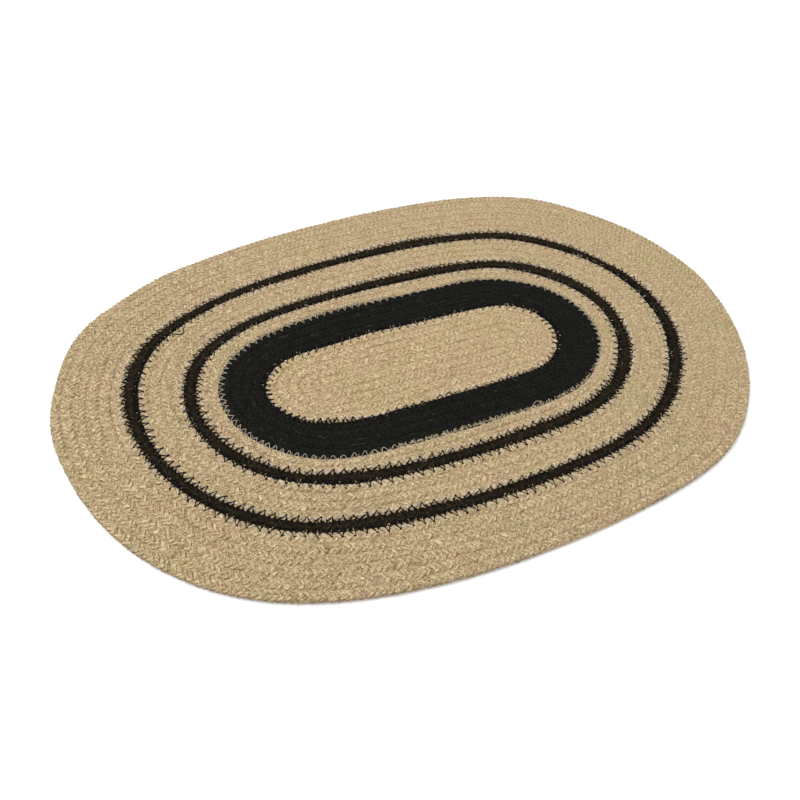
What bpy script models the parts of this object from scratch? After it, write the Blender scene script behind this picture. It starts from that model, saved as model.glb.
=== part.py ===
"""Oval placemat of flat jute braid, coiled row beside row round a straight centre.

Seven lengths of natural and black braid make the mat. Each is one flat solid whose top has a low rib
for every row of braid, and whose underside is flat where the mat lies on the table. The mat lies in the
XY plane, its length along X, with the origin in the middle of its underside.
"""
import math

import bmesh
import bpy
from mathutils import Vector

MM = 0.001

# Driving sizes, in millimetres and degrees
CORE_HALF = 65.1        # half of the straight centre seam that the first row is folded round
CORE_TURN = 2.4         # the centre seam's turn away from the mat's long axis
RIM_SOFTNESS = 0.23     # how far the straight runs have softened into the round ends at the rim
ROW_HEIGHT = 4.0        # thickness of a row of braid at its crown
SEAM_HEIGHT = 3.1       # height at which two rows are sewn edge to edge
CROWN_INSET = 0.24      # where a row's crown starts, as a share of the row's width
RIM_FOOT_INSET = 1.0    # how far the rim's rounded foot stands in from the rim
RIM_BELLY = 1.5         # height at which the rim stands out furthest
RIM_SHOULDER = 2.9      # height at which the rim starts to turn in to its crown
NEIGHBOUR_GAP = 0.3     # between one length of braid and the next
WELD_DISTANCE = 0.02
SHARP = 1e-6            # softness of the centre seam's folds, which are as good as sharp

# Steps round the mat. They lie closer together on the long runs than on the round ends.
STEPS = 64
RUN_CROWDING = 0.45

# The lengths of braid, from the centre out: rows laid side by side, and their width together in mm
BANDS = (
    # node,                yarn,      rows, width
    ("natural_centre",      "natural", 5, 34.1),
    ("wide_black_band",     "black",   4, 29.6),
    ("narrow_natural_band", "natural", 2, 13.3),
    ("inner_black_ring",    "black",   1, 7.5),
    ("middle_natural_band", "natural", 4, 27.1),
    ("outer_black_ring",    "black",   1, 7.3),
    ("outer_natural_band",  "natural", 6, 46.7),
)
RIM_REACH = sum(width for _, _, _, width in BANDS)

# The hand-laid rows aren't true ovals: slow swells run round the mat. Each line gives how many swells
# there are in one turn, their height in mm and the direction of the first one in degrees.
RIM_SWELLS = (          # grow from nothing at the centre to their full height at the rim
    # count, height, first
    (1, 4.9, 140),
    (2, 2.0, -57),
    (3, 2.4, 42),
    (4, 2.7, -31),
    (5, 1.0, 3),
    (6, 0.8, 13),
)
MIDDLE_SWELLS = (       # full height half-way out, nothing at the centre and the rim
    # count, height, first
    (1, 1.6, -138),
    (2, 1.9, -54),
    (4, 1.6, 8),
)

YARNS = {
    # base colour, roughness
    "natural": ((0.48, 0.34, 0.18), 0.9),
    "black": ((0.012, 0.012, 0.011), 0.85),
}


def swell(swells, direction):
    """How far a table of swells pushes a row out where it faces a direction, and how fast that grows."""
    height, slope = 0, 0
    for count, size, first in swells:
        phase = count * (direction - math.radians(first))
        height += size * math.cos(phase)
        slope -= size * count * math.sin(phase)
    return height, slope


def on_mat(direction, reach):
    """The place on a row that faces a direction and lies a reach out from the centre seam, in mm.

    A row is the outline that just touches a line facing each direction at some height from the middle.
    Round the bare centre seam that height is CORE_HALF * abs(cos), and each row adds its reach to it.
    """
    share = reach / RIM_REACH
    softness = RIM_SOFTNESS * share + SHARP
    from_core = direction - math.radians(CORE_TURN)
    across, along = math.cos(from_core), math.sin(from_core)
    bend = math.hypot(across, softness)
    scale = CORE_HALF / (math.hypot(1, softness) - softness)
    rim_height, rim_slope = swell(RIM_SWELLS, direction)
    middle_height, middle_slope = swell(MIDDLE_SWELLS, direction)
    middle_share = 4 * share * (1 - share)
    height = reach + scale * (bend - softness) + share * rim_height + middle_share * middle_height
    slope = -scale * across * along / bend + share * rim_slope + middle_share * middle_slope
    outward = Vector((math.cos(direction), math.sin(direction)))
    onward = Vector((-outward.y, outward.x))
    return height * outward + slope * onward


def step_directions():
    """The directions that the steps round the mat face."""
    even = [math.tau * step / STEPS for step in range(STEPS)]
    return [turn + RUN_CROWDING / 2 * math.sin(2 * turn) + math.radians(CORE_TURN) for turn in even]


def mat_middle(directions):
    """The middle of the rim's box, which is moved to the origin."""
    rim = [on_mat(direction, RIM_REACH) for direction in directions]
    return Vector([(min(side) + max(side)) / 2 for side in zip(*rim)])


def ribs(inner, rows, row_width):
    """The top of a band, from its inner seam to its outer one: a flat-topped rib for each row."""
    line = [(inner, SEAM_HEIGHT)]
    for row in range(rows):
        start = inner + row * row_width
        line.append((start + CROWN_INSET * row_width, ROW_HEIGHT))
        line.append((start + (1 - CROWN_INSET) * row_width, ROW_HEIGHT))
        line.append((start + row_width, SEAM_HEIGHT))
    return line


def band_section(inner, rows, width):
    """A band's section as (reach, height), from its inner foot up, over the ribs and down to its outer
    foot. The centre's section has no inner wall, because its two halves meet at the centre seam."""
    line = ribs(inner, rows, width / rows)
    at_centre = inner == 0
    if not at_centre:
        line[0] = (inner + NEIGHBOUR_GAP / 2, SEAM_HEIGHT)
        line.insert(0, (inner + NEIGHBOUR_GAP / 2, 0))
    if inner + width < RIM_REACH - WELD_DISTANCE:
        outer = inner + width - NEIGHBOUR_GAP / 2
        line[-1] = (outer, SEAM_HEIGHT)
        line.append((outer, 0))
    else:
        line[-1] = (RIM_REACH - RIM_FOOT_INSET / 3, RIM_SHOULDER)
        line.append((RIM_REACH, RIM_BELLY))
        line.append((RIM_REACH - RIM_FOOT_INSET, 0))
    line.append((0, 0) if at_centre else line[0])
    return line


def laid_band(name, yarn, section, directions, middle, collection):
    """Bend a flat grid round the mat, one grid line for each point of the section, and weld it shut."""
    courses = len(section) - 1
    mesh = bmesh.new()
    bmesh.ops.create_grid(mesh, x_segments=STEPS, y_segments=courses, size=0.5)
    for vert in mesh.verts:
        step = round((vert.co.x + 0.5) * STEPS)
        course = round((vert.co.y + 0.5) * courses)
        reach, height = section[course]
        place = on_mat(directions[step % STEPS], reach) - middle
        vert.co = Vector((place.x, place.y, height)) * MM
    bmesh.ops.remove_doubles(mesh, verts=mesh.verts, dist=WELD_DISTANCE * MM)
    bmesh.ops.recalc_face_normals(mesh, faces=mesh.faces)
    bmesh.ops.triangulate(mesh, faces=mesh.faces)
    data = bpy.data.meshes.new(name)
    mesh.to_mesh(data)
    mesh.free()
    data.materials.append(yarn)
    band = bpy.data.objects.new(name, data)
    collection.objects.link(band)
    return band


def yarn_material(name, colour, roughness):
    """A plain yarn finish."""
    material = bpy.data.materials.new(name)
    material.use_nodes = True
    shader = material.node_tree.nodes["Principled BSDF"]
    shader.inputs["Base Color"].default_value = (*colour, 1)
    shader.inputs["Roughness"].default_value = roughness
    shader.inputs["Metallic"].default_value = 0
    material.diffuse_color = (*colour, 1)
    return material


def main():
    for thing in list(bpy.data.objects):
        bpy.data.objects.remove(thing, do_unlink=True)
    collection = bpy.data.collections.new("braided_placemat")
    bpy.context.scene.collection.children.link(collection)
    directions = step_directions()
    middle = mat_middle(directions)
    inner = 0
    for name, yarn, rows, width in BANDS:
        material = yarn_material(f"{yarn}_{name}", *YARNS[yarn])
        section = band_section(inner, rows, width)
        laid_band(name, material, section, directions, middle, collection)
        inner += width


main()
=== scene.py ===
# %% [markdown]
# # An oval placemat of sewn jute braid
#
# The real mat is made of flat three-strand braid, laid row beside row round a straight centre and sewn
# edge to edge with a zigzag stitch. This lesson dresses the plain CAD model of that mat in Blender: it
# plaits the yarns, lays them in rows, sews the rows together and adds the loose fibres that make jute
# look like jute. The first lines load the CAD model as a fixed frame, in metres, with Z up.

# %% Load the frame
import math
import random

import bmesh
import bpy
import numpy as np
from mathutils import Matrix, Vector
from mathutils.bvhtree import BVHTree


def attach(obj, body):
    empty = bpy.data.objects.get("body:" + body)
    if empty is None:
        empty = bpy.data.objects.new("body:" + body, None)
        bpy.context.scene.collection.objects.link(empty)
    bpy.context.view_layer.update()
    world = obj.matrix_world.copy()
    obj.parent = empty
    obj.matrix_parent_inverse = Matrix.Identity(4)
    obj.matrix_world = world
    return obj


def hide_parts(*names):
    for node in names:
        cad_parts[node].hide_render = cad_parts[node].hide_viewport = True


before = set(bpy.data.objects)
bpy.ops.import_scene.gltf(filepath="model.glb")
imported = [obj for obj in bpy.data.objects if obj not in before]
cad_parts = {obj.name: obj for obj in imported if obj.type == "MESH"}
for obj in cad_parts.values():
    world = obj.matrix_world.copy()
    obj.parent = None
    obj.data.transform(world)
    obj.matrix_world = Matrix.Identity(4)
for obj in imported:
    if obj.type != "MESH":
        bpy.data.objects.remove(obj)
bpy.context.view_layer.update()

MM = 0.001

# %% [markdown]
# ## The rows
#
# A row of braid runs round the mat like a lane round a running track. It could be drawn as a curve by
# hand, but then no two rows would fit side by side. Instead the same few numbers that shape the CAD model
# give every row and seam its line: a row is the outline that touches a line facing each direction at some
# height from the middle, and each row out adds its own width to that height.

# %% Sizes of the mat, in millimetres and degrees
CORE_HALF = 65.1        # half of the straight centre seam
CORE_TURN = 2.4         # the centre seam's turn away from the mat's long axis
RIM_SOFTNESS = 0.23     # how far the straight runs have softened into the round ends at the rim
SHARP = 1e-6            # softness of a fold, or reach of a seam, that is as good as none

BANDS = (
    # node,                yarn,      rows, width
    ("natural_centre",      "natural", 5, 34.1),
    ("wide_black_band",     "black",   4, 29.6),
    ("narrow_natural_band", "natural", 2, 13.3),
    ("inner_black_ring",    "ring",    1, 7.5),
    ("middle_natural_band", "natural", 4, 27.1),
    ("outer_black_ring",    "ring",    1, 7.3),
    ("outer_natural_band",  "natural", 6, 46.7),
)
RIM_REACH = sum(width for _, _, _, width in BANDS)

RIM_SWELLS = (          # slow swells of the hand-laid rows, at full height at the rim
    # count, height, first
    (1, 4.9, 140),
    (2, 2.0, -57),
    (3, 2.4, 42),
    (4, 2.7, -31),
    (5, 1.0, 3),
    (6, 0.8, 13),
)
MIDDLE_SWELLS = (       # at full height half-way out
    # count, height, first
    (1, 1.6, -138),
    (2, 1.9, -54),
    (4, 1.6, 8),
)


# %% The outline at any reach from the centre seam
def swell(swells, direction):
    """How far a table of swells pushes a row out where it faces a direction, and how fast that grows."""
    height, slope = 0, 0
    for count, size, first in swells:
        phase = count * (direction - math.radians(first))
        height = height + size * np.cos(phase)
        slope = slope - size * count * np.sin(phase)
    return height, slope


def outline(direction, reach):
    """Heights and places of the outline a reach out from the centre seam, for many directions."""
    share = reach / RIM_REACH
    softness = RIM_SOFTNESS * share + SHARP
    from_core = direction - math.radians(CORE_TURN)
    across, along = np.cos(from_core), np.sin(from_core)
    bend = np.hypot(across, softness)
    scale = CORE_HALF / (math.hypot(1, softness) - softness)
    rim_height, rim_slope = swell(RIM_SWELLS, direction)
    middle_height, middle_slope = swell(MIDDLE_SWELLS, direction)
    middle_share = 4 * share * (1 - share)
    height = reach + scale * (bend - softness) + share * rim_height + middle_share * middle_height
    slope = -scale * across * along / bend + share * rim_slope + middle_share * middle_slope
    outward = np.stack([np.cos(direction), np.sin(direction)], axis=1)
    onward = np.stack([-outward[:, 1], outward[:, 0]], axis=1)
    return height, height[:, None] * outward + slope[:, None] * onward


def facing(steps, crowding):
    """The directions that places round the mat face. Crowding, below 0.5, gathers them on the long runs."""
    turn = np.linspace(0, math.tau, steps + 1)
    return turn + crowding * np.sin(2 * turn) + math.radians(CORE_TURN)


DIRECTIONS = facing(steps=8192, crowding=0.4998)
OUTWARD = np.stack([np.cos(DIRECTIONS), np.sin(DIRECTIONS)], axis=1)
_, rim_places = outline(DIRECTIONS, RIM_REACH)
MAT_MIDDLE = (rim_places.min(axis=0) + rim_places.max(axis=0)) / 2
print("the mat's middle, mm:", MAT_MIDDLE.round(3))

# %% [markdown]
# ## Lines to lay things on
#
# A line is a table: how far along it each place is, where that place is, which way is out, and how wide
# the row is there. The seams of a hand-sewn mat wander a little, so each seam gets a few gentle waves of
# its own. The seams between two colours and the rim also get the bulges listed for them, and the
# seams between them follow. A row then fills the space between its two seams.

# %% How far the seams wander
WANDER = 0.16           # height of one wave of a seam, mm
WANDER_COUNTS = (3, 5, 8)
WANDER_SEED = 100
STRAYS = {              # bulges of some seams: percent of the way round, mm outwards, length in percent
    0: (),
    5: ((5, 2.3, 3), (29, 1.9, 5), (47, 2.4, 7), (60, -2.1, 2), (66, 1.3, 2),
        (76, -1.8, 2), (97, 1.4, 3)),
    9: ((6, 1.6, 4), (15, 1.4, 3), (32, 1.9, 7), (44, 1.1, 4), (50, -2.2, 6),
        (72, -1.6, 6), (80, -1.2, 3), (89, -1.2, 3), (97, 1.4, 3)),
    11: ((5, 1.1, 3), (27, 1.2, 6), (54, -0.8, 5), (65, -2.0, 3), (80, -1.2, 4),
         (89, -1.0, 2), (96, 1.4, 2)),
    12: ((6, 2.2, 5), (19, 1.7, 7), (37, 0.9, 4), (49, -1.0, 4), (63, -2.0, 4),
         (95, 1.7, 4)),
    16: ((5, 1.5, 4), (19, 0.9, 3), (30, -1.2, 2), (46, 1.5, 3), (68, -2.2, 4),
         (97, 2.1, 4)),
    17: ((14, 0.6, 5), (21, 1.6, 3), (32, -1.3, 2), (46, 2.2, 6), (56, -1.2, 4),
         (98, 1.4, 5)),
    23: ((1, 1.0, 2), (9, -1.1, 2), (25, -0.9, 6), (36, 2.0, 2), (44, -2.1, 2),
         (49, 1.7, 2), (79, -1.2, 4), (87, 2.4, 3)),
}


def bulges(seam, share):
    """How far a seam's bulges push it outwards at each share of the way round."""
    stray = 0 * share
    for place, height, length in STRAYS[seam]:
        away = np.abs((share - place / 100 + 0.5) % 1 - 0.5) / (length / 100)
        stray = stray + height * np.exp(-away ** 2)
    return stray


def wander(seam, share):
    """How far a seam strays outwards at each share of the way round. A seam that has no bulges of its own
    follows the nearest ones inside and outside it."""
    chance = random.Random(WANDER_SEED + seam)
    stray = 0 * share
    for count in WANDER_COUNTS:
        stray = stray + WANDER * np.cos(math.tau * (count * share + chance.random()))
    inside = max(known for known in STRAYS if known <= seam)
    outside = min(known for known in STRAYS if known >= seam)
    part = (seam - inside) / max(outside - inside, 1)
    stray = stray + (1 - part) * bulges(inside, share) + part * bulges(outside, share)
    return stray if seam else 0 * share


# %% The lines of seams and rows
CENTRE_REACH = 0.01     # the centre seam's line lies this far off its fold, mm

SEAM_REACHES = [0.0]
for _, _, rows, width in BANDS:
    for _ in range(rows):
        SEAM_REACHES.append(SEAM_REACHES[-1] + width / rows)


def closed_length(places):
    """The distance along a line of places, from its first place to each of them."""
    steps = np.hypot(*np.diff(places, axis=0).T)
    return np.concatenate([[0], np.cumsum(steps)])


def line(inner_seam, outer_seam):
    """The line midway between two seams, or along one seam if both are the same."""
    reach = (SEAM_REACHES[inner_seam] + SEAM_REACHES[outer_seam]) / 2
    _, places = outline(DIRECTIONS, max(reach, CENTRE_REACH))
    length = closed_length(places)
    share = length / length[-1]
    inner, outer = wander(inner_seam, share), wander(outer_seam, share)
    places = places + ((inner + outer) / 2)[:, None] * OUTWARD - MAT_MIDDLE
    made = {"length": closed_length(places), "places": places, "out": OUTWARD, "reach": reach}
    if outer_seam > inner_seam:
        inner_height, _ = outline(DIRECTIONS, SEAM_REACHES[inner_seam] + SHARP)
        outer_height, _ = outline(DIRECTIONS, SEAM_REACHES[outer_seam])
        made["width"] = outer_height + outer - inner_height - inner
    return made


def by_share(value, share):
    """A number, or a table of (percent of the way round, number), read at many shares."""
    if isinstance(value, (int, float)):
        return np.full(len(share), float(value))
    percents, values = zip(*value)
    return np.interp(share, np.divide(percents, 100), values, period=1)


def on_line(laid, along, across):
    """Places on the mat for distances along a line and across it, in mm."""
    table = np.column_stack([laid["places"], laid["out"]])
    whole = laid["length"][-1]
    x, y, out_x, out_y = (np.interp(along, laid["length"], column, period=whole) for column in table.T)
    size = np.hypot(out_x, out_y)
    return np.column_stack([x + across * out_x / size, y + across * out_y / size])


SEAMS = [line(seam, seam) for seam in range(len(SEAM_REACHES))]
ROWS = [line(row, row + 1) for row in range(len(SEAM_REACHES) - 1)]
print("rows:", len(ROWS), "braid in all, m:", round(sum(row["length"][-1] for row in ROWS) / 1000, 2))

# %% [markdown]
# ## A length of plait
#
# Each row is three flat yarns plaited together. One yarn swings from edge to edge of the row, over the
# others on its way out and under them on its way back, and the three do so a third of a turn apart. A
# maker lays three yarns side by side first, and so does this lesson: three short tubes are modelled once,
# an Array repeats them along the row, and then every ring of points is swung to its place in the plait.

# %% Sizes of the plait, in millimetres
PLAIT_TURN = 10.95      # length in which a yarn swings out, back and home again
PLAIT_SWING = 0.355     # how far a yarn's middle swings from the row's middle, as a share of its width
PLAIT_LIFT = 0.46       # how far it rises and falls
OUTER_LIFT = 0.54       # and in the outer band, whose braid is looser
OUTER_ROWS = range(17, 23)
PLAIT_PLATEAU = 0.40    # the smaller, the longer it stays up before it dives
SHARP_FOLD = 0.07       # how much straighter than a sine its runs are
YARN_HALF_WIDTH = 1.7
YARN_HALF_HEIGHT = 1.25
YARN_SIDES = 6
YARN_RINGS = 3          # rings of faces in a third of a turn
YARN_SPACING = 4.0      # between the straight yarns, before they are plaited


# %% Helpers for working by hand in edit mode
def deselect_all():
    bpy.ops.object.select_all(action="DESELECT")


def only(*things):
    """Select some objects and nothing else, and make the first one active."""
    deselect_all()
    for thing in things:
        thing.select_set(True)
    bpy.context.view_layer.objects.active = things[0]


def joined(things):
    """Several objects as one, which is the first one."""
    only(*things)
    bpy.ops.object.join()
    return things[0]


def settle(thing):
    """Apply an object's place, turn and size to its mesh."""
    only(thing)
    bpy.ops.object.transform_apply(location=True, rotation=True, scale=True)
    return thing


def finished(thing, name, *materials):
    """Name a piece, give it its materials and smooth its shading."""
    thing.name = thing.data.name = name
    for place, material in enumerate(materials):
        if place < len(thing.data.materials):
            thing.data.materials[place] = material
        else:
            thing.data.materials.append(material)
    only(thing)
    bpy.ops.object.shade_smooth()
    return thing


def triangles(thing):
    return sum(len(face.vertices) - 2 for face in thing.data.polygons)


# %% Three straight yarns side by side
def three_yarns():
    """Three open tubes, a third of a turn long, with unit half width, ready to be repeated."""
    yarns = []
    for place in (-1, 0, 1):
        deselect_all()
        bpy.ops.mesh.primitive_cylinder_add(
            vertices=YARN_SIDES, radius=1, depth=PLAIT_TURN / 3, end_fill_type="NOTHING",
            location=(PLAIT_TURN / 6, place * YARN_SPACING, 0), rotation=(math.pi / 2, 0, math.pi / 2))
        yarn = bpy.context.object
        bpy.ops.object.mode_set(mode="EDIT")
        mesh = bmesh.from_edit_mesh(yarn.data)
        for edge in mesh.edges:
            edge.select = abs(edge.verts[0].co.z - edge.verts[1].co.z) > 1
        bmesh.update_edit_mesh(yarn.data)
        bpy.ops.mesh.subdivide(number_cuts=YARN_RINGS - 1)
        bpy.ops.object.mode_set(mode="OBJECT")
        yarns.append(yarn)
    return settle(joined(yarns))


yarn_unit = three_yarns()
print("three yarns:", len(yarn_unit.data.polygons), "faces")

# %% [markdown]
# Hand-plaited yarn is never even. Its width, height and swing change along it, the plait runs ahead or
# falls behind, and single fibres stray. Sewing presses the rows together, so their yarns reach in among
# each other, and black yarn spreads over the natural yarn beside it.

# %% Sizes of what is uneven about a row, in millimetres
UNEVEN_WIDTH, UNEVEN_HEIGHT, UNEVEN_SWING = 0.10, 0.12, 0.12    # as shares of the plain sizes
SLACK = 1.2             # how far the plait runs ahead or falls behind
ROUGHNESS = (0.16, 0.22, 0.15)          # how far fibres stray along, across and up
RAGGED = 0.35           # how far a row's edge does
RAGGED_AT_COLOURS = 0.85                # and where the next row has another colour
MIDDLE_HEIGHT = 2.02    # height of the plait's middle above the table
HALF_THICKNESS = 1.92
PRESSED_FROM = 0.50     # share of the row's half thickness and half width past which it is pressed flat
ROW_OVERLAP = 1.5       # how far a row's fibres reach in among its neighbour's
EVEN_OVERLAP = 0.7      # and where neither colour covers the other
DARK_OVERLAP = 1.75     # how far black yarn spreads over natural yarn
PALE_OVERLAP = 0.35     # and how far natural yarn then reaches in under it
CENTRE_SEAM, CREAM_SEAM = 5, 9          # the seams round the natural centre and the wide black band
DARK_OVER_PALE = (CREAM_SEAM, 11, 12, 16, 17)
COLOUR_SEAMS = (CENTRE_SEAM, *DARK_OVER_PALE)
CENTRE_GAP = 0.1        # the innermost row stays this far off the centre seam
SEAM_TUFT_AND_SHADE = 2.9              # width of the fluffed-up edge on natural yarn, and of the painted shade on black yarn, beside a seam between two colours
CREAM_TUFT_AND_SHADE = 0.25       # how much of it shows beside the cream stitches
RIM_SIDE = 1.7          # width of the rim's side, which gets painted shade
PLAIT_SEED, FIBRE_SEED = 500, 700
ROW_YARNS = [yarn for _, yarn, rows, _ in BANDS for _ in range(rows)]


# %% What is uneven about a yarn
def uneven(along, whole, chance, shortest=22, waves=4):
    """Gentle unevenness from -1 to 1 that closes on itself after the whole length."""
    most = max(2, int(whole / shortest))
    total = 0 * along
    for _ in range(waves):
        count = chance.randint(1, most)
        total = total + np.cos(math.tau * (count * along / whole + chance.random()))
    return total / waves


def stray_fibres(along, whole, yarn, side, up, number):
    """Small strays of every point, the same at both ends of a closed row."""
    ring_length = PLAIT_TURN / 3 / YARN_RINGS
    rings = round(whole / ring_length)
    chance = np.random.default_rng(FIBRE_SEED + number)
    table = chance.normal(size=(rings, 3, YARN_SIDES, 4)).clip(-2, 2)
    ring = np.rint(along / ring_length).astype(int) % rings
    corner = np.floor(np.arctan2(up, side) / math.tau * YARN_SIDES + 0.25).astype(int) % YARN_SIDES
    return table[ring, yarn + 1, corner]


# %% Swing the yarns into a plait
def swung(along, turn, swing, lift):
    """A yarn's course in the plait, and which way it runs there."""
    middle = swing * (np.sin(turn) - SHARP_FOLD * np.sin(3 * turn))
    rise = np.sin(2 * turn)
    height = -lift * rise * (1 + PLAIT_PLATEAU) / (np.abs(rise) + PLAIT_PLATEAU)
    per_mm = math.tau / PLAIT_TURN
    ahead = np.column_stack([
        np.ones(len(turn)),
        swing * (np.cos(turn) - 3 * SHARP_FOLD * np.cos(3 * turn)) * per_mm,
        -2 * lift * np.cos(2 * turn) * per_mm])
    return np.column_stack([along, middle, height]), ahead / np.linalg.norm(ahead, axis=1)[:, None]


def plait(straight, row, number):
    """Where the points of three straight yarns lie once they are plaited, in mm along, across and up from
    the row's middle, with the row's width there and how far each point strays at the row's edge."""
    whole = row["length"][-1]
    chance = random.Random(PLAIT_SEED + number)
    along = straight[:, 0]
    yarn = np.rint(straight[:, 1] / YARN_SPACING).astype(int)
    side, up = straight[:, 1] - yarn * YARN_SPACING, straight[:, 2]
    strays = stray_fibres(along, whole, yarn, side, up, number)
    width = np.interp(along, row["length"], row["width"], period=whole)
    wide, high, swing = np.ones((3, len(along)))
    for which in (-1, 0, 1):
        mine = yarn == which
        wide[mine] += UNEVEN_WIDTH * uneven(along[mine], whole, chance)
        high[mine] += UNEVEN_HEIGHT * uneven(along[mine], whole, chance)
        swing[mine] += UNEVEN_SWING * uneven(along[mine], whole, chance, shortest=9)
    slack = SLACK * uneven(along, whole, chance, shortest=60)
    turn = math.tau * ((along + slack) / PLAIT_TURN + yarn / 3 + chance.random())
    lift = OUTER_LIFT if number in OUTER_ROWS else PLAIT_LIFT
    bent, ahead = swung(along, turn, swing * PLAIT_SWING * width, lift)
    sideways = np.column_stack([-ahead[:, 1], ahead[:, 0], np.zeros(len(along))])
    sideways /= np.linalg.norm(sideways, axis=1)[:, None]
    upward = np.cross(ahead, sideways)
    bent += (side * wide * YARN_HALF_WIDTH)[:, None] * sideways
    bent += (up * high * YARN_HALF_HEIGHT)[:, None] * upward + strays[:, :3] * ROUGHNESS
    return bent, width, strays[:, 3]


# %% Press the plait into its row
def pressed(value, limit):
    """Values past a share of the limit are squeezed in, so that none passes it."""
    share = np.abs(value) / limit
    over = (share - PRESSED_FROM) / (1 - PRESSED_FROM)
    squeezed = np.where(over > 0, PRESSED_FROM + (1 - PRESSED_FROM) * np.tanh(over), share)
    return np.sign(value) * squeezed * limit


def overlap(number, seam):
    """How far a row reaches past one of its two seams."""
    if seam == len(ROWS):
        return 0
    if seam not in DARK_OVER_PALE:
        return EVEN_OVERLAP if seam in COLOUR_SEAMS else ROW_OVERLAP
    return PALE_OVERLAP if ROW_YARNS[number] == "natural" else DARK_OVERLAP


def pressed_across(across, width, strays, number):
    """How far points lie across their row once its neighbours have pressed it into shape."""
    inwards = across < 0
    past = np.where(inwards, overlap(number, number), overlap(number, number + 1))
    spread = across * (width / 2 + past) / (width / 2 + ROW_OVERLAP)
    beside = np.where(inwards, number, number + 1)
    ragged = np.where(np.isin(beside, COLOUR_SEAMS), RAGGED_AT_COLOURS, RAGGED)
    across = pressed(spread, width / 2 + past + ragged * (strays - 0.5))
    return np.maximum(across, CENTRE_GAP - ROWS[number]["reach"])


def nearness(across, width, number):
    """How near points are to a seam between two colours and to the rim, from 0 to 1."""
    to_inner, to_outer = width / 2 + across, width / 2 - across
    seam_fluff_and_shade = np.zeros(len(across))
    for seam, away in ((number, to_inner), (number + 1, to_outer)):
        if seam in COLOUR_SEAMS:
            seam_fluff_and_shade = np.maximum(seam_fluff_and_shade, (1 - away / SEAM_TUFT_AND_SHADE) * (CREAM_TUFT_AND_SHADE if seam == CREAM_SEAM else 1))
    painted_rim_shade = 1 - to_outer / RIM_SIDE if number == len(ROWS) - 1 else seam_fluff_and_shade * 0
    return {"seam_fluff_and_shade": seam_fluff_and_shade.clip(0, 1), "painted_rim_shade": painted_rim_shade.clip(0, 1)}


# %% One closed row
ROW_SHIFT = (37.3, 3.37)                # moves each row's map, so that no two rows have the same fibres


def yarn_map(mesh, straight, number):
    """A UV map that runs along each yarn and round it, so that fibres can follow the yarn."""
    corners = np.zeros(len(mesh.loops), int)
    mesh.loops.foreach_get("vertex_index", corners)
    yarn = np.rint(straight[:, 1] / YARN_SPACING)
    around = np.arctan2(straight[:, 2], straight[:, 1] - yarn * YARN_SPACING) / math.tau + 0.25
    around = (around % 1)[corners].reshape(-1, 4)
    around += (around < around.max(axis=1, keepdims=True) - 0.5)
    u = straight[corners, 0] / PLAIT_TURN + ROW_SHIFT[0] * number
    v = around.reshape(-1) + (yarn + 1)[corners] + ROW_SHIFT[1] * number
    layer = mesh.uv_layers.get("along_yarn") or mesh.uv_layers.new(name="along_yarn")
    layer.data.foreach_set("uv", np.column_stack([u, v]).astype(np.float32).ravel())


def repeated_yarns(times):
    """A copy of the three yarns, repeated end to end."""
    yarns = yarn_unit.copy()
    yarns.data = yarn_unit.data.copy()
    bpy.context.collection.objects.link(yarns)
    only(yarns)
    repeat = yarns.modifiers.new("repeat", "ARRAY")
    repeat.count = times
    repeat.use_relative_offset = False
    repeat.use_constant_offset = True
    repeat.constant_offset_displace = (PLAIT_TURN / 3, 0, 0)
    repeat.use_merge_vertices = True
    repeat.merge_threshold = 0.01
    bpy.ops.object.modifier_apply(modifier="repeat")
    return yarns


def braid_row(number):
    """One closed row of plait. Its mesh remembers which points face up, or lie near a seam or the rim."""
    row = ROWS[number]
    turns = round(row["length"][-1] / PLAIT_TURN)
    yarns = repeated_yarns(3 * turns)
    mesh = yarns.data
    straight = np.zeros(len(mesh.vertices) * 3)
    mesh.vertices.foreach_get("co", straight)
    straight = straight.reshape(-1, 3)
    yarn_map(mesh, straight, number)
    stretch = row["length"][-1] / (turns * PLAIT_TURN)
    fitted = dict(row, length=row["length"] / stretch)
    bent, width, strays = plait(straight, fitted, number)
    across = pressed_across(bent[:, 1], width, strays, number)
    heights = MIDDLE_HEIGHT + pressed(bent[:, 2], HALF_THICKNESS)
    laid = np.column_stack([on_line(fitted, bent[:, 0], across), heights])
    mesh.vertices.foreach_set("co", (laid * MM).ravel())
    for name, numbers in {**nearness(across, width, number), "up": straight[:, 2]}.items():
        kept = mesh.attributes.new(name, "FLOAT", "POINT")
        kept.data.foreach_set("value", numbers.astype(np.float32))
    mesh.update()
    bpy.ops.object.mode_set(mode="EDIT")
    bpy.ops.mesh.select_all(action="SELECT")
    bpy.ops.mesh.remove_doubles(threshold=0.003 * MM)
    bpy.ops.mesh.normals_make_consistent(inside=False)
    bpy.ops.object.mode_set(mode="OBJECT")
    return yarns


# %% [markdown]
# ## Jute
#
# Jute yarn is a bundle of long flat fibres, straw-coloured with paler and browner ones among them. A
# plain colour would look like plastic. So the colour comes from a noise that is stretched along the UV
# map of each yarn, as fibres are, and that also drives a bump. Other noises paint shade into the dips
# between fibre ends and a highlight onto the ends, make lengths of yarn duller, fleck them with bits of
# bark and shift the tone slowly over the mat. The numbers that the mesh remembers paint shade on a yarn's
# edges, where it dips under the next yarn, and on the side of the rim. Beside a seam between two colours
# they colour the fluff on natural yarn and paint shade on black yarn, where the seam is sewn down. Toward
# the back on the right the fibres look calmer.

# %% Helpers that add nodes
WHITE = (1, 1, 1)


def new_material(name, roughness, gloss):
    """A material, with its tree and its shader."""
    material = bpy.data.materials.new(name)
    material.use_nodes = True
    shader = material.node_tree.nodes["Principled BSDF"]
    shader.inputs["Roughness"].default_value = roughness
    shader.inputs["Specular IOR Level"].default_value = gloss
    return material, material.node_tree, shader


def plug(tree, socket, value):
    """Link a socket to another one, or give it a value."""
    if isinstance(value, bpy.types.NodeSocket):
        tree.links.new(value, socket)
    else:
        socket.default_value = value


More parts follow.
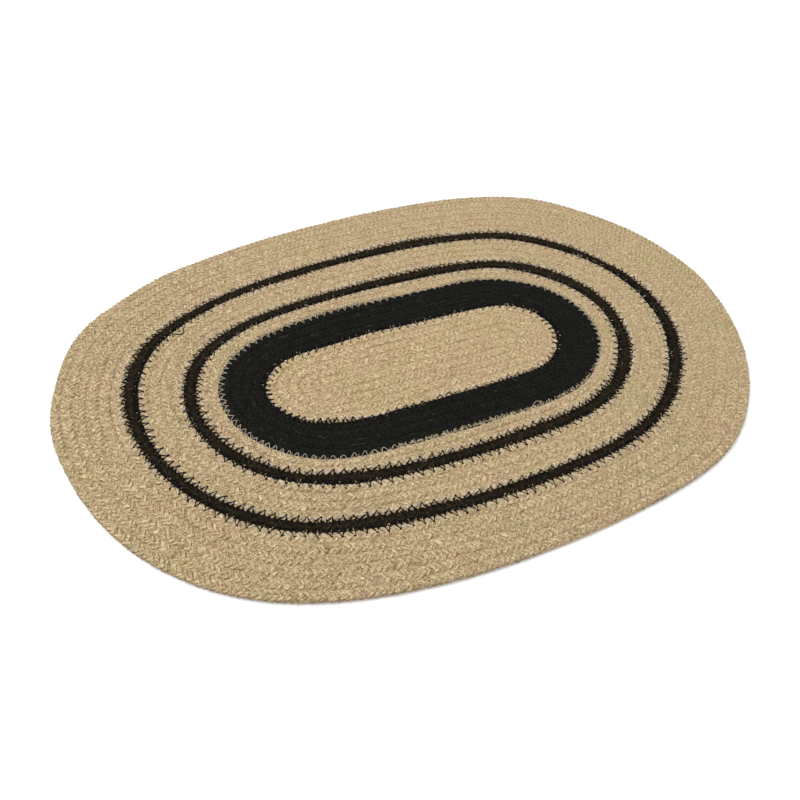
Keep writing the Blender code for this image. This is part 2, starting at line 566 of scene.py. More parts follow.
def add_node(tree, kind, inputs=(), **settings):
    """A new node with its inputs and settings."""
    made = tree.nodes.new(kind)
    for name, value in settings.items():
        setattr(made, name, value)
    for name, value in dict(inputs).items():
        plug(tree, made.inputs[name], value)
    return made


def noise(tree, vector, scale, detail, **inputs):
    """The strength of a noise, from 0 to 1. Two scales stretch it along a UV map."""
    if isinstance(scale, tuple):
        stretched = add_node(tree, "ShaderNodeMapping", {"Vector": vector, "Scale": (*scale, 1)})
        vector, scale = stretched.outputs["Vector"], 1
    inputs = {"Vector": vector, "Scale": scale, "Detail": detail, **inputs}
    return add_node(tree, "ShaderNodeTexNoise", inputs).outputs["Fac"]


def ramp(tree, factor, *stops):
    """A colour ramp with (place, colour) stops. A colour may be one number, for a grey."""
    made = add_node(tree, "ShaderNodeValToRGB", {"Fac": factor})
    band = made.color_ramp
    while len(band.elements) < len(stops):
        band.elements.new(0.5)
    for element, (place, colour) in zip(band.elements, stops):
        element.position = place
        element.color = (*(colour if isinstance(colour, tuple) else (colour,) * 3), 1)
    return made.outputs["Color"]


def mixed(tree, kind, factor, first, second):
    """Two colours mixed one way or another."""
    made = add_node(tree, "ShaderNodeMix", data_type="RGBA", blend_type=kind)
    for socket, value in ((0, factor), (6, first), (7, second)):
        plug(tree, made.inputs[socket], value)
    return made.outputs[2]


def times_ramp(tree, colour, factor, *stops):
    return mixed(tree, "MULTIPLY", 1, colour, ramp(tree, factor, *stops))


def remembered(tree, name):
    """A number that the mesh keeps for each of its points."""
    return add_node(tree, "ShaderNodeAttribute", attribute_name=name).outputs["Fac"]


def add_bump(tree, shader, height, depth):
    """Bumps that are some mm deep."""
    bump = add_node(tree, "ShaderNodeBump", {"Height": height, "Distance": depth * MM})
    tree.links.new(bump.outputs["Normal"], shader.inputs["Normal"])


# %% The finish of a jute yarn
def calm_side(tree, place):
    """How much the fibres' tones draw together: half-way at the back on the right, not at all opposite."""
    across = add_node(tree, "ShaderNodeMapping", {
        "Vector": place, "Location": (0.5, 0, 0), "Rotation": (0, 0, -0.6), "Scale": (-2, -2, 2)})
    gradient = add_node(tree, "ShaderNodeTexGradient", {"Vector": across.outputs["Vector"]})
    return ramp(tree, gradient.outputs["Fac"], (0.1, 0.5), (0.8, 0))


def jute(name, shades, dull, fleck, edge, grain, depth, sheen, gloss):
    """A fibrous yarn: shades are the fibres' colours from dark to pale, dull tints its duller lengths,
    fleck is the colour of its bits of bark, edge that of its fluff beside another colour on natural yarn
    and of painted shade there on black yarn, and grain how dark the painted shade in the smallest dips
    between fibre ends is."""
    material, tree, shader = new_material(name, 0.82, gloss)
    shader.inputs["Sheen Weight"].default_value = sheen
    shader.inputs["Sheen Roughness"].default_value = 0.45
    along = add_node(tree, "ShaderNodeUVMap", uv_map="along_yarn").outputs["UV"]
    place = add_node(tree, "ShaderNodeTexCoord").outputs["Object"]

    fibres = noise(tree, along, (4.2, 12), 3, Roughness=0.7, Distortion=1.0)
    colour = ramp(tree, fibres, *zip((0.36, 0.46, 0.54, 0.64), shades))
    # Painted shade and painted highlight: a fine noise darkens the smallest dips between fibre ends and
    # lightens the ends.
    ends = noise(tree, place, 1000, 2, Roughness=0.6)
    colour = times_ramp(tree, colour, ends, (0.38, (grain, grain * 0.96, grain * 0.9)), (0.5, WHITE),
                        (0.62, (1.2, 1.19, 1.15)))
    # Painted shade on the yarns' sides, where they dip under their neighbours: away from the top the colour
    # turns browner.
    high = add_node(tree, "ShaderNodeMath", {0: fibres, 1: 0.5, 2: remembered(tree, "up")},
                    operation="MULTIPLY_ADD")
    high = add_node(tree, "ShaderNodeMath", {0: high.outputs[0], 1: 0.5}, operation="MULTIPLY")
    colour = times_ramp(tree, colour, high.outputs[0], (0.38, (0.84, 0.79, 0.72)), (0.46, WHITE))

    lengths = noise(tree, along, (0.9, 1.3), 1)
    colour = times_ramp(tree, colour, lengths, (0.3, dull), (0.5, WHITE))
    middling = [(darker + paler) / 2 for darker, paler in zip(*shades[1:3])]
    colour = mixed(tree, "MIX", calm_side(tree, place), colour, (*middling, 1))
    slow = noise(tree, place, 35, 3, Roughness=0.6)
    colour = times_ramp(tree, colour, slow, (0.3, (0.93, 0.97, 0.87)), (0.5, WHITE), (0.7, (1, 0.94, 0.95)))
    bark = noise(tree, along, (4, 11), 2)
    colour = mixed(tree, "MIX", ramp(tree, bark, (0.58, 0), (0.70, 0.85)), colour, (*fleck, 1))

    # Beside a seam between two colours: pale fluff on natural yarn, and painted shade on black yarn, where
    # the seam is sewn down.
    tufts = noise(tree, place, 420, 1)
    fluff_and_shade = times_ramp(tree, remembered(tree, "seam_fluff_and_shade"), tufts, (0.38, 0.15), (0.6, 1.5))
    colour = mixed(tree, "MIX", fluff_and_shade, colour, (*edge, 1))
    # Painted shade on the side of the rim: its outermost mm are darkened and greyed.
    colour = mixed(tree, "MULTIPLY", remembered(tree, "painted_rim_shade"), colour, (0.66, 0.67, 0.72, 1))
    tree.links.new(colour, shader.inputs["Base Color"])
    add_bump(tree, shader, fibres, depth)
    return material


# %% [markdown]
# The braid at the centre is a little paler than the other natural rows, and the two thin rings are a
# browner black than the wide band.

# %% Natural and dyed jute
pale_jute = jute(
    "pale natural jute",
    shades=((0.244, 0.156, 0.069), (0.479, 0.357, 0.198), (0.577, 0.44, 0.261), (0.772, 0.63, 0.42)),
    dull=(0.86, 0.85, 0.83), fleck=(0.21, 0.12, 0.048), edge=(0.67, 0.575, 0.455),
    grain=0.6, depth=0.6, sheen=0.06, gloss=0.2)
natural_jute = jute(
    "natural jute",
    shades=((0.23, 0.15, 0.067), (0.46, 0.347, 0.196), (0.556, 0.431, 0.259), (0.75, 0.63, 0.434)),
    dull=(0.84, 0.83, 0.81), fleck=(0.17, 0.095, 0.036), edge=(0.65, 0.565, 0.455),
    grain=0.54, depth=0.6, sheen=0.06, gloss=0.2)
# The black yarns' edge colour is painted shade beside the natural rows, and their grain the painted shade
# in the dips between fibre ends.
black_jute = jute(
    "black jute",
    shades=((0.004, 0.004, 0.0035), (0.006, 0.006, 0.005), (0.008, 0.008, 0.0065), (0.015, 0.015, 0.012)),
    dull=0.85, fleck=(0.014, 0.014, 0.010), edge=(0.001, 0.001, 0.001),
    grain=0.8, depth=0.3, sheen=0.0, gloss=0.07)
ring_jute = jute(
    "black ring jute",
    shades=((0.006, 0.0046, 0.0026), (0.0118, 0.009, 0.005), (0.019, 0.0142, 0.008), (0.05, 0.039, 0.024)),
    dull=0.6, fleck=(0.060, 0.044, 0.026), edge=(0.002, 0.0016, 0.0011),
    grain=0.6, depth=0.5, sheen=0.0, gloss=0.05)
YARNS = {"natural": natural_jute, "black": black_jute, "ring": ring_jute}
print("yarns:", [material.name for material in (pale_jute, *YARNS.values())])


# %% [markdown]
# ## The seven lengths of braid
#
# Each band of colour is its own length of braid, in one or more rows, and takes the place of one node of
# the CAD model. The outer band has the most yarn, so it is made in two pieces of three rows, which keeps
# each piece light enough to handle.

# %% Plait and lay every band
MOST_ROWS = 5           # in one piece

braids = []
first_row = 0
for node, yarn, rows, _ in BANDS:
    numbers = list(range(first_row, first_row + rows))
    first_row += rows
    parts = {"": numbers}
    if rows > MOST_ROWS:
        parts = {"_inner_rows": numbers[:rows // 2], "_outer_rows": numbers[rows // 2:]}
    finish = pale_jute if node == "natural_centre" else YARNS[yarn]
    for part, mine in parts.items():
        braid = finished(joined([braid_row(number) for number in mine]), f"{node}_braid{part}", finish)
        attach(braid, "root")
        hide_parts(node)
        braids.append(braid)
        print(braid.name, triangles(braid), "triangles")
bpy.data.objects.remove(yarn_unit)

# %% [markdown]
# ## The heart of the mat
#
# Between the plaited yarns the eye meets the fibres packed inside the rows, not the table. They are made
# as one thin sheet that lies inside the braid, with a low rib at every seam, where the fibres of two rows
# are packed together. A grid is bent round the mat, its centre is closed, and a Solidify modifier gives it
# thickness.

# %% A ribbed sheet inside the braid
HEART_STEPS = 96
HEART_CROWDING = 0.3    # how far the steps gather on the long runs
HEART_SEAM, HEART_CROWN = 2.8, 2.3      # height of its top at the seams and under the crowns, mm
HEART_THICK = 1.4
HEART_EDGE = 2.6                        # how far it stays in from the rim, mm
HEART_START = 1.2                       # reach of its innermost ring, mm
HEART_HOLE = Vector((75, 12)) * MM      # half of a box that holds that ring and no other edge of the grid


def heart_courses():
    """Reach, height and yarn of every ring of the sheet, two to a row."""
    courses = []
    for row, yarn in enumerate(ROW_YARNS):
        inner, outer = SEAM_REACHES[row:row + 2]
        courses.append((max(inner, HEART_START), HEART_SEAM, yarn))
        courses.append(((inner + outer) / 2, HEART_CROWN, yarn))
    courses.append((RIM_REACH - HEART_EDGE, HEART_SEAM, ROW_YARNS[-1]))
    return courses


def bent_grid(courses):
    """A grid bent round the mat, one grid line for each course."""
    deselect_all()
    bpy.ops.mesh.primitive_grid_add(x_subdivisions=HEART_STEPS, y_subdivisions=len(courses) - 1, size=1)
    sheet = bpy.context.object
    directions = facing(HEART_STEPS, HEART_CROWDING)
    rings = [outline(directions, reach)[1] - MAT_MIDDLE for reach, _, _ in courses]
    for vert in sheet.data.vertices:
        step = round((vert.co.x + 0.5) * HEART_STEPS)
        course = round((vert.co.y + 0.5) * (len(courses) - 1))
        vert.co = Vector((*rings[course][step], courses[course][1])) * MM
    for face in sheet.data.polygons:
        yarn = courses[face.index // HEART_STEPS][2]
        face.material_index = 0 if yarn == "natural" else 1
    return sheet


def close_centre(sheet):
    """Weld the grid's two ends to each other and close the hole in its middle."""
    only(sheet)
    bpy.ops.object.mode_set(mode="EDIT")
    bpy.ops.mesh.select_all(action="SELECT")
    bpy.ops.mesh.remove_doubles(threshold=0.01 * MM)
    bpy.ops.mesh.select_all(action="DESELECT")
    mesh = bmesh.from_edit_mesh(sheet.data)
    for edge in [edge for edge in mesh.edges if edge.is_boundary]:
        if all(abs(vert.co.x) < HEART_HOLE.x and abs(vert.co.y) < HEART_HOLE.y for vert in edge.verts):
            edge.select = True
    bmesh.update_edit_mesh(sheet.data)
    bpy.ops.mesh.edge_face_add()
    bpy.ops.mesh.select_all(action="SELECT")
    bpy.ops.mesh.normals_make_consistent(inside=False)
    if mesh.faces[:][0].normal.z < 0:
        bpy.ops.mesh.flip_normals()
    bpy.ops.object.mode_set(mode="OBJECT")


heart = bent_grid(heart_courses())
close_centre(heart)
wall = heart.modifiers.new("thickness", "SOLIDIFY")
wall.thickness = HEART_THICK * MM
wall.offset = -1
bpy.ops.object.modifier_apply(modifier="thickness")


# %% [markdown]
# Its finish is the same jute, painted darker as shade between the yarns, and has no streaks: a
# fine noise on Object coordinates gives its tone and its bumps, and the sewing threads get the same later.

# %% The finish of the packed fibres
def grainy(name, dark, pale, roughness=0.9, gloss=0.1, scale=1000, detail=3, depth=0.3):
    """A finish that one fine noise makes darker and paler, and bumpy to a depth in mm."""
    material, tree, shader = new_material(name, roughness, gloss)
    grain = noise(tree, add_node(tree, "ShaderNodeTexCoord").outputs["Object"], scale, detail)
    tree.links.new(ramp(tree, grain, (0.35, dark), (0.65, pale)), shader.inputs["Base Color"])
    add_bump(tree, shader, grain, depth)
    return material


# The natural packed fibres are painted darker, as shade between the yarns.
finished(heart, "packed_fibres", grainy("packed natural fibres with painted shade", (0.30, 0.21, 0.105), (0.57, 0.43, 0.25)),
         grainy("packed black fibres", (0.004, 0.004, 0.004), (0.015, 0.015, 0.012)))
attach(heart, "root")

# %% [markdown]
# ## The zigzag sewing
#
# A machine zigzag holds each row to the next: the thread crosses the seam from a hole in one row to a
# hole in the other, on the face and on the underside. Black thread joins the black rings to the natural
# rows, so its tips show on the natural braid, and a cream thread on the outer edge of the wide black band
# shows on the black. The thread is a curve, laid on the braid by looking straight down for its surface,
# and a bevel gives it thickness. Where the black thread dives into a hole it looks thicker.

# %% Finding the braid's surface
def braid_surface():
    """All the braids as one tree of faces that rays can be cast at."""
    places, faces = [], []
    for braid in braids:
        first = len(places)
        places += [vert.co.copy() for vert in braid.data.vertices]
        faces += [[first + corner for corner in face.vertices] for face in braid.data.polygons]
    print("surface:", len(faces), "faces")
    return BVHTree.FromPolygons(places, faces)


surface = braid_surface()


def surface_heights(places, from_above=True):
    """The heights of the braid's face or underside over many places, in mm."""
    look = Vector((0, 0, -1 if from_above else 1))
    heights = []
    for x, y in places:
        hit = surface.ray_cast(Vector((x * MM, y * MM, 0.02 if from_above else -0.02)), look, 0.04)[0]
        heights.append(hit.z / MM if hit else MIDDLE_HEIGHT)
    return np.array(heights)


# %% Laying a thread on it
STITCH = 6.3            # plain length of one zigzag, mm
LOWEST = 0.42           # no thread's middle lies lower than this over the table, mm
STEEPEST = 0.35         # slope at which a taut thread comes down from a high point
UNEVEN_REACH = (0.8, 1.1)               # how far a tip reaches, as a share of the plain reach
LOOP_POWER = 0.7        # the smaller, the blunter a rounded loop
TIP = 0.97              # share of the reach past which the thread dives into its hole
SEWING_SEED, UNDERSIDE_SEED = 900, 950


def stitch_shares(laid, stitch, points):
    """Every point of a zigzag: the stitches before it and its share of the way round; and their count."""
    share = np.linspace(0, 1, 2001)
    rate = laid["length"][-1] / by_share(stitch, share)
    before = np.concatenate([[0], np.cumsum((rate[1:] + rate[:-1]) / (2 * (len(share) - 1)))])
    count = round(before[-1])
    turn = np.arange(count * points) / points
    return turn, np.interp(turn, before * count / before[-1], share), count


def taut(heights, steps):
    """A thread under tension spans the dips: it falls from a high point no faster than a slope."""
    fall = STEEPEST * steps
    for _ in range(3):
        heights = np.maximum(heights, np.roll(heights, 1) - fall)
        heights = np.maximum(heights, np.roll(heights, -1) - fall)
    return heights


def zigzag(seam, stitch, inner, outer, points, rounded=0, dive=0.3, sink=0.0, depths=0.3, lean=0.22,
           feed=0.0, face=True):
    """The points of a zigzag thread round a seam. It reaches to the holes on the seam's inner and outer
    side, dives into them, and sinks into the braid between them, by up to depths more at some stitches.
    The stitch length, the two reaches, how rounded the loops are and how far they sink may be tables for
    by_share. Lean is how far the tips may lean forwards or back, as a share of a stitch, and feed how far
    they do so together."""
    laid = SEAMS[seam]
    chance = np.random.default_rng((SEWING_SEED if face else UNDERSIDE_SEED) + seam)
    turn, share, count = stitch_shares(laid, stitch, points)
    half = np.rint(turn * 2).astype(int) % (count * 2)
    leaning = chance.uniform(feed - lean, feed + lean, count * 2)[half]
    reach = chance.uniform(*UNEVEN_REACH, count * 2)[half]
    sunk = chance.uniform(0, depths, count * 2)[half]
    pointed = np.interp(turn % 1, (0, 0.5, 1), (1, -1, 1))
    loop = np.sign(pointed) * np.abs(np.cos(math.tau * turn)) ** LOOP_POWER
    wave = pointed + by_share(rounded, share) * (loop - pointed)
    across = reach * wave * np.where(wave > 0, by_share(outer, share), by_share(inner, share))
    along = share * laid["length"][-1] + leaning * np.abs(wave) * by_share(stitch, share)
    places = on_line(laid, along, across)
    steps = np.hypot(*(places - np.roll(places, 1, axis=0)).T)
    outwards = 1 if face else -1
    heights = taut(outwards * surface_heights(places, face), steps)
    heights = outwards * (heights - (by_share(sink, share) + sunk + dive * (np.abs(wave) > TIP)))
    return np.column_stack([places, np.maximum(heights, LOWEST)])


# %% Making pieces of thread
KNOT = 1.9              # how thick the thread looks where it dives into a hole, compared with itself
KNOT_FROM, KNOT_TO = -0.3, 0.6          # where that length starts and ends, mm inwards of the tip
LEAST_TIP = 0.3         # how far a tip stands out from the points beside it, mm


def knots(path, thickness):
    """A short thick length of thread over every tip of a zigzag, where the thread gathers in its hole."""
    before, after = np.roll(path, 1, axis=0), np.roll(path, -1, axis=0)
    inwards = (before + after) / 2 - path
    length = np.hypot(*inwards[:, :2].T)
    tips = (length > np.roll(length, 1)) & (length >= np.roll(length, -1)) & (length > LEAST_TIP)
    inwards /= np.maximum(length, 0.01)[:, None]
    return [(np.array([tip + KNOT_FROM * way, tip + KNOT_TO * way]), False, KNOT * thick)
            for tip, way, thick in zip(path[tips], inwards[tips], thickness[tips])]


def thread(name, paths, radius, material):
    """A piece of sewing thread or loose fibres from several paths, as one mesh. Each path comes with
    whether it is closed and, if it isn't plain thread, how thick it is."""
    curve = bpy.data.curves.new(name, "CURVE")
    curve.dimensions = "3D"
    curve.bevel_depth = radius * MM
    curve.bevel_resolution = 0
    curve.use_fill_caps = True
    for path, is_closed, *thickness in paths:
        spline = curve.splines.new("POLY")
        spline.points.add(len(path) - 1)
        spline.points.foreach_set("co", np.column_stack([path * MM, np.ones(len(path))]).ravel())
        spline.points.foreach_set("radius", np.ones(len(path)) * (thickness or [1])[0])
        spline.use_cyclic_u = is_closed
    made = bpy.data.objects.new(name, curve)
    bpy.context.collection.objects.link(made)
    only(made)
    bpy.ops.object.convert(target="MESH")
    return finished(bpy.context.object, name, material)


def laid_threads(table):
    """The pieces in a table of names, paths, radii in mm, finishes and slots."""
    pieces = []
    for name, paths, radius, finish, slot in table:
        piece = thread(name, paths, radius, finish)
        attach(piece, "root")
        pieces.append(piece)
        print(piece.name, triangles(piece), "triangles")
    return pieces


# %% [markdown]
# Sewing thread is smooth beside jute, with a soft gloss and the fine twist of its plies. A wave texture
# would need a map along the thread, and at this size the plies are thinner than a hair, so a fine noise
# for tone and bump is enough.

# %% The finish of the threads
def thread_finish(name, dark, pale, roughness):
    return grainy(name, dark, pale, roughness, gloss=0.2, scale=2600, detail=1, depth=0.1)


black_thread = thread_finish("black thread", (0.002, 0.0018, 0.0015), (0.006, 0.005, 0.004), 0.85)
cream_thread = thread_finish("cream thread", (0.34, 0.30, 0.22), (0.58, 0.52, 0.41), 0.65)
natural_thread = thread_finish("natural thread", (0.42, 0.30, 0.16), (0.62, 0.48, 0.29), 0.7)

# %% [markdown]
# The needle didn't run evenly, and at the back the thread lies deepest in the fibres. So its sizes are
# tables, each with a size at some percents of the way round, which starts at the right end and goes past
# the back, the left end and the front.

# %% How the black stitches differ round the mat
REACH = {               # how far each seam's black zigzag reaches over the natural braid, mm
    5: ((0, 4.3), (12, 4.0), (20, 3.3), (28, 3.9), (38, 4.3), (46, 4.9), (50, 3.8), (53, 2.2),
        (58, 2.5), (62, 2.2), (66, 1.5), (70, 1.8), (74, 1.2), (79, 1.9), (83, 1.4), (91, 3.0)),
    11: ((0, 4.2), (10, 4.2), (16, 3.4), (30, 3.0), (50, 3.3), (58, 3.4), (66, 2.4), (70, 2.8),
         (77, 2.3), (86, 2.5), (92, 3.4)),
    12: ((0, 2.3), (12, 2.1), (18, 1.2), (25, 2.5), (42, 2.4), (46, 3.1), (50, 3.1), (54, 2.8),
         (60, 3.7), (73, 4.4), (80, 4.4), (85, 3.0), (92, 2.1)),
    16: ((0, 3.9), (8, 4.2), (15, 3.5), (25, 2.8), (32, 3.1), (40, 4.4), (48, 4.6), (54, 4.1),
         (57, 3.5), (62, 3.1), (66, 2.5), (75, 2.1), (85, 2.5), (93, 4.4)),
    17: ((0, 2.3), (15, 2.5), (26, 2.5), (30, 3.6), (36, 2.1), (50, 2.1), (54, 4.1), (60, 4.1),
         (66, 3.6), (72, 4.2), (80, 4.6), (86, 4.4), (92, 2.9), (95, 3.8)),
}
BLACK_STITCH = {        # the length of its stitches, mm
    5: ((0, 5.2), (10, 6.3), (40, 5.8), (50, 4.6), (78, 6.3), (92, 5.5)),
    11: ((0, 6.0), (20, 6.1), (30, 5.2), (40, 5.6), (50, 6.6), (72, 6.7), (80, 6.0), (95, 5.6)),
    12: ((10, 6.4), (22, 6.6), (28, 5.5), (45, 6.0), (53, 7.0), (66, 6.6), (75, 6.0), (90, 5.9)),
    16: ((0, 5.7), (9, 5.1), (22, 6.7), (34, 5.6), (47, 5.7), (60, 6.5), (78, 6.9), (85, 6.1)),
    17: ((0, 5.8), (16, 6.5), (22, 5.7), (30, 6.3), (41, 5.3), (50, 6.6), (66, 6.6), (80, 6.1),
         (97, 5.1)),
}
FEED = 0.15             # how far its tips lie ahead of their middle, as a share of a stitch
# How thick the black thread looks, compared with itself, and how much more so round the natural centre
LEG = ((0, 0.75), (10, 0.6), (38, 0.6), (46, 1.0), (56, 1.15), (70, 1.1), (80, 0.95), (90, 0.9))
CENTRE_LEG = ((10, 1.4), (40, 1.5), (55, 1.2), (73, 0.75), (88, 0.75), (96, 1.3))

# %% How the cream stitches do
# Their length in mm, how far they reach over the black, how rounded their loops are, from 0 to 1, and how
# far they sink into the braid, where below 0 they lie on top of it
CREAM_STITCH = ((0, 5.3), (10, 5.3), (20, 6.3), (28, 4.9), (34, 5.5), (42, 5.1), (59, 4.8),
                (64, 6.4), (68, 6.3), (72, 5.0), (84, 4.5), (92, 5.0))
CREAM_REACH = ((0, 2.6), (20, 2.6), (26, 3.8), (43, 4.2), (50, 2.3), (55, 2.1), (62, 2.2),
               (68, 2.1), (70, 0.9), (76, 0.9), (80, 1.9), (93, 1.9))
CREAM_ROUND = ((50, 0.0), (57, 0.9), (69, 1.0), (72, 0.0))
CREAM_SINK = ((0, -0.3), (71, -0.3), (74, 0.1), (92, 0.1), (95, -0.3))

# %% Sew every seam, on the face and on the underside
BLACK_ON_BLACK = (6, 7, 8)
paths_of = {"black": [], "cream": [], "natural": []}
for seam in range(1, len(SEAM_REACHES) - 1):
    if seam == CREAM_SEAM:
        path = zigzag(seam, CREAM_STITCH, CREAM_REACH, 1.0, points=8, rounded=CREAM_ROUND, dive=0.1,
                      sink=CREAM_SINK, depths=0.1, lean=0.12)
        kind, sewn = "cream", [(path, True)]
    elif seam in COLOUR_SEAMS:
        over_black, sink = (2.6, -0.3) if seam == CENTRE_SEAM else (2.2, -0.36)
        inner, outer = REACH[seam], over_black
        if ROW_YARNS[seam] == "natural":
            inner, outer = outer, inner
        path = zigzag(seam, BLACK_STITCH[seam], inner, outer, points=8, sink=sink, lean=0.14, feed=FEED)
        share = np.arange(len(path)) / len(path)
        leg = by_share(LEG, share) * (by_share(CENTRE_LEG, share) if seam == CENTRE_SEAM else 1)
        kind, sewn = "black", [(path, True, leg), *knots(path, leg)]
    elif seam in BLACK_ON_BLACK:
        kind, sewn = "black", [(zigzag(seam, STITCH, 2.4, 2.4, points=6, sink=0.1), True)]
    else:
        kind, sewn = "natural", [(zigzag(seam, STITCH, 2.3, 2.3, points=4, sink=0.05), True)]
    underside = zigzag(seam, STITCH, 2.4, 2.4, points=4, dive=0, sink=0.1, face=False)
    paths_of[kind] += [*sewn, (underside, True)]
print("paths of thread:", {kind: len(paths) for kind, paths in paths_of.items()})

# %% [markdown]
# Two stitches have come loose: a cream one on the front of the wide black band, and a black one that
# stands well out over the natural braid at the back on the left. Each is one arch of thread, whose ends go
# down into the braid.


# %% Loose stitches
def curl(seam, share, off, width, depth, lift, turned=(0, 180), points=11):
    """A curl of thread round a place some mm off a seam: an arc of an oval, turned in degrees."""
    laid = SEAMS[seam]
    turn = np.radians(np.linspace(*turned, points))
    along = share * laid["length"][-1] + width / 2 * np.cos(turn)
    places = on_line(laid, along, off + depth * np.sin(turn))
    step = np.linspace(0, 1, points)
    rise = lift * (4 * step * (1 - step)) ** 0.5 - 0.4 * ((step == 0) | (step == 1))
    return np.column_stack([places, surface_heights(places) + rise]), False


paths_of["cream"].append(curl(CREAM_SEAM, 0.8375, off=0, width=7.0, depth=-3.4, lift=0.5))
paths_of["black"].append(curl(16, 0.4015, off=-0.4, width=8.6, depth=-6.0, lift=0.5))
sewing = laid_threads((
    ("black_sewing", paths_of["black"], 0.3588, black_thread, "black_jute"),
    ("cream_sewing", paths_of["cream"], 0.195, cream_thread, "natural_jute"),
    ("natural_sewing", paths_of["natural"], 0.195, natural_thread, "natural_jute"),
))

# %% [markdown]
# ## Loose fibres
#
# Jute is never smooth: short fibres work loose from the yarns, rise a little and lie down again across
# the plait. Thousands of them make the surface look dry and hairy, and beside a seam between two colours
# they are brushed across it, so that the edge is ragged. At the front on the right they also hide part of
# the cream stitches. Each one is a thin bevelled curve of a few points that starts and ends in the braid
# or on it, so that none hangs in the air.

# %% Many fibres along one line
FIBRE_RADIUS = 0.085    # mm


def fibres_on(laid, chance, across, length, heading, rise, points=4, buried=-0.25, between=(0, 1)):
    """Paths of fibres laid along a line, or between two shares of it: across and heading are tables, one
    entry for each fibre."""
    count = len(across)
    share = np.linspace(0, 1, points)[None]
    length = chance.uniform(*length, count)[:, None]
    bow = chance.uniform(-0.2, 0.2, count)[:, None] * length
    ahead, side = (share - 0.5) * length, bow * 4 * share * (1 - share)
    turned, tilted = np.cos(heading)[:, None], np.sin(heading)[:, None]
    start, end = np.multiply(between, laid["length"][-1])
    along = chance.uniform(start, end, count)[:, None] + ahead * turned - side * tilted
    across = across[:, None] + ahead * tilted + side * turned
    places = on_line(laid, along.ravel(), np.maximum(across, 1 - laid["reach"]).ravel())
    heights = surface_heights(places).reshape(count, points)
    inside = (share > 0) & (share < 1)
    heights = heights + np.where(inside, chance.uniform(*rise, count)[:, None], buried)
    return [(path, False) for path in np.dstack([places.reshape(count, points, 2), heights])]


# %% Fibres over rows, and across seams
DARK_EDGE = 0.5         # how far black that spreads over natural yarn shows past the seam, mm


def fibres_over(rows, count, length, rise, spread, seed, points=4):
    """Paths of fibres scattered over some rows, in step with the rows' lengths."""
    chance = np.random.default_rng(seed)
    whole = sum(ROWS[row]["length"][-1] for row in rows)
    paths = []
    for row in rows:
        mine = round(count * ROWS[row]["length"][-1] / whole)
        across = chance.uniform(-0.45, 0.45, mine) * ROWS[row]["width"][0]
        paths += fibres_on(ROWS[row], chance, across, length, chance.normal(0, spread, mine), rise, points)
    return paths


def fringe(from_natural, per_mm, length, seed):
    """Paths of short fibres brushed across the seams between two colours, from one colour's side."""
    chance = np.random.default_rng(seed)
    paths = []
    for seam in COLOUR_SEAMS:
        natural_inside = ROW_YARNS[seam - 1] == "natural"
        count = round(SEAMS[seam]["length"][-1] * per_mm)
        edge = DARK_EDGE if seam in DARK_OVER_PALE else 0
        edge = (-edge if natural_inside else edge) + (0.2 if natural_inside == from_natural else -0.2)
        across = edge + chance.normal(0, 0.35, count)
        heading = math.pi / 2 + chance.normal(0, 0.55, count)
        paths += fibres_on(SEAMS[seam], chance, across, length, heading, (0.06, 0.25), buried=0.03)
    return paths


def brushed_edge(count, seed):
    """Paths of the fibres that cover the cream stitches where the narrow band is fluffed up over the wide
    black one."""
    chance = np.random.default_rng(seed)
    across = 1.8 - np.abs(chance.normal(0, 1.2, count))
    heading = -math.pi / 2 + chance.normal(0.2, 0.45, count)
    return fibres_on(SEAMS[CREAM_SEAM], chance, across, (2.0, 4.2), heading, (0.05, 0.4), buried=0.03,
                     between=(0.69, 0.93))


# %% [markdown]
# A little pale fluff lies on the black rows, two pale fibres lie loose on the outer black ring at the left
# end, and one brown knot sits in the outer band at the front on the left.

# %% Scatter them
natural_rows = [row for row, yarn in enumerate(ROW_YARNS) if yarn == "natural"]
black_rows = [row for row, yarn in enumerate(ROW_YARNS) if yarn != "natural"]
loose_jute = thread_finish("loose jute", (0.44, 0.335, 0.19), (0.76, 0.625, 0.415), 0.8)
loose_dyed_jute = thread_finish("loose dyed jute", (0.012, 0.011, 0.009), (0.05, 0.045, 0.04), 0.8)
pale_fluff = thread_finish("pale fluff", (0.05, 0.05, 0.043), (0.20, 0.19, 0.165), 0.8)
brown_jute = thread_finish("brown jute", (0.14, 0.085, 0.035), (0.24, 0.155, 0.07), 0.85)
fibres = laid_threads((
    ("natural_fibres",
     fibres_over(natural_rows, 3000, length=(3, 6), rise=(0.06, 0.35), spread=0.6, seed=31),
     FIBRE_RADIUS, loose_jute, "natural_jute"),
    ("natural_fringe",
     fringe(True, 0.45, length=(1.8, 3.4), seed=33) + brushed_edge(480, seed=37),
     FIBRE_RADIUS * 1.5, loose_jute, "natural_jute"),
    ("black_fibres",
     fibres_over(black_rows, 160, length=(3, 8), rise=(0.05, 0.3), spread=0.4, seed=32) +
     fringe(False, 0.42, length=(1.6, 3.4), seed=34),
     FIBRE_RADIUS * 1.6, loose_dyed_jute, "black_jute"),
    ("pale_fluff",
     fibres_over([5, 6, 7, 8], 70, length=(3, 7), rise=(0.1, 0.25), spread=0.15, seed=35, points=8) +
     fibres_over([11, 16], 20, length=(2, 5), rise=(0.1, 0.25), spread=0.3, seed=36, points=8) +
     [curl(17, 0.5354, off=-4.3, width=8.5, depth=1.6, lift=0.3, turned=(200, 350)),
      curl(17, 0.5416, off=-3.4, width=7.0, depth=1.2, lift=0.3, turned=(20, 160))],
     FIBRE_RADIUS * 0.8, pale_fluff, "natural_jute"),
    ("brown_knot",
     [curl(17, 0.6505, off=12.2, width=2.6, depth=1.5, lift=0.25, turned=(-140, 150))],
     0.36, brown_jute, "natural_jute"),
))
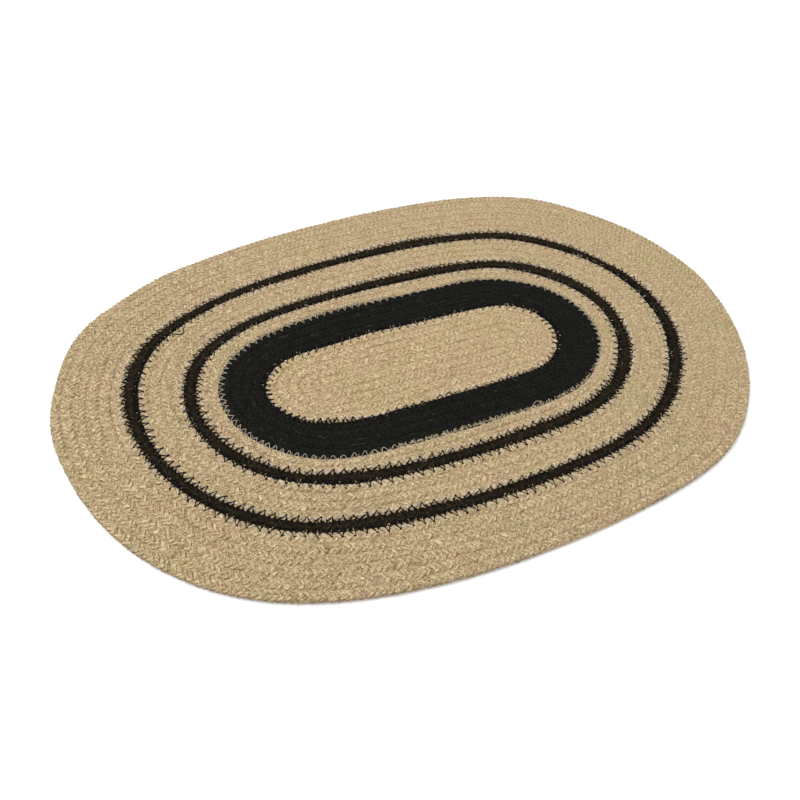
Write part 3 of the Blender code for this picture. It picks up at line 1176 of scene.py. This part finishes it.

# %% [markdown]
# ## The floor
#
# The mat, an oval of 330 by 457 mm, lies on the floor, which is plain and pale.

# %% The floor
deselect_all()
bpy.ops.mesh.primitive_plane_add(size=8, location=(0, 0, 0))
floor = settle(bpy.context.object)
floor_paint, _, shader = new_material("pale floor", 0.9, 0.0)
shader.inputs["Base Color"].default_value = (0.93, 0.93, 0.93, 1)
finished(floor, "floor", floor_paint)

# %% [markdown]
# ## Light and camera
#
# The photo is a studio cut-out: the ground is white, the light is soft and comes mostly from above and
# behind on the left. A white sky gives the soft part, and one large lamp gives the direction.

# %% Sky and lamp
scene = bpy.context.scene
world = bpy.data.worlds.new("studio")
scene.world = world
world.use_nodes = True
world.node_tree.nodes["Background"].inputs["Color"].default_value = (1, 1, 1, 1)
world.node_tree.nodes["Background"].inputs["Strength"].default_value = 1.0
light = bpy.data.lights.new("key", "AREA")
light.size = 0.9
light.energy = 13
key = bpy.data.objects.new("key", light)
key.location = (-0.7, 0.25, 1.6)
key.rotation_euler = (-key.location).to_track_quat("-Z", "Y").to_euler()
bpy.context.collection.objects.link(key)
scene.view_settings.view_transform = "Standard"
scene.view_settings.look = "None"
print("lamp, m:", list(key.location.to_tuple(2)))

# %% The photograph's camera
AZIMUTH, ELEVATION, ROLL = (math.radians(angle) for angle in (-20.52, 47.22, 1.77))
TARGET = Vector((-0.01971, -0.03174, 0.004))
DISTANCE = 0.58612
back = Vector((math.sin(AZIMUTH) * math.cos(ELEVATION), -math.cos(AZIMUTH) * math.cos(ELEVATION),
               math.sin(ELEVATION)))
right = Vector((0, 0, 1)).cross(back).normalized()
up = back.cross(right)
camera_data = bpy.data.cameras.new("photo camera")
camera_data.lens = 41.98
camera_data.sensor_width = 36
camera = bpy.data.objects.new("photo camera", camera_data)
bpy.context.collection.objects.link(camera)
turned = Matrix((math.cos(ROLL) * right + math.sin(ROLL) * up,
                 math.cos(ROLL) * up - math.sin(ROLL) * right, back)).transposed()
camera.matrix_world = Matrix.Translation(TARGET + DISTANCE * back) @ turned.to_4x4()
scene.camera = camera
print("camera, m:", list(camera.matrix_world.translation.to_tuple(3)))
